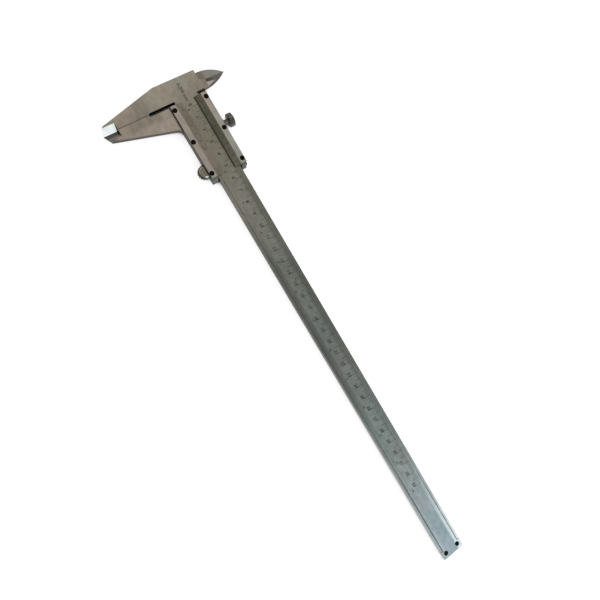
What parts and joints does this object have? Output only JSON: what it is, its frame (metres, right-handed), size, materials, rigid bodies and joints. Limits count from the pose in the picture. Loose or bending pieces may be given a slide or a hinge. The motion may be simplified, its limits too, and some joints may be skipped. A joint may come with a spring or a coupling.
{
  "type": "vernier caliper",
  "caption": "Long vernier caliper with outside jaws, crossed knife-edge inside jaws, a built-up slide with bevelled vernier plates, a knurled lock screw and a depth rod.",
  "frame": {"origin": "on the resting plane, on the centre line of the beam, in the plane where the closed outside jaws meet; the rest_face mount's point is just inside the rear plate's head end", "axes": "+X along the beam from the jaws to the tail, +Y across the beam towards the inside jaws, +Z from the resting plane up to the graduated face"},
  "size_m": [0.4153, 0.1016, 0.0105],
  "materials": {
    "ground_steel": "ground",
    "slide_steel": "ground",
    "plate_steel": "satin",
    "dark_steel": "oxidised",
    "black_screws": "blacked",
    "gib_brass": "plain"
  },
  "bodies": {
    "beam": {"main_beam": "ground_steel", "end_stop": "ground_steel", "end_stop_screws": "black_screws"},
    "slide": {"moving_jaw": "slide_steel", "upper_bar": "slide_steel", "rear_plate": "slide_steel", "upper_vernier_plate": "plate_steel", "lower_vernier_plate": "plate_steel", "upper_plate_screws": "black_screws", "lower_plate_screws": "black_screws", "gib_strip": "gib_brass", "gib_screws": "dark_steel", "depth_rod": "ground_steel", "depth_rod_rivets": "dark_steel"},
    "lock": {"lock_screw": "dark_steel"}
  },
  "joints": [
    {"name": "slide_travel", "type": "slide", "parent": "beam", "child": "slide", "axis": [1, 0, 0], "range_m": [0, 0.32]},
    {"name": "lock_screw_turn", "type": "hinge", "parent": "slide", "child": "lock", "pos_m": [0.0268, 0.0149, 0.00535], "axis": [0, 1, 0], "range_deg": [0, 270]}
  ]
}
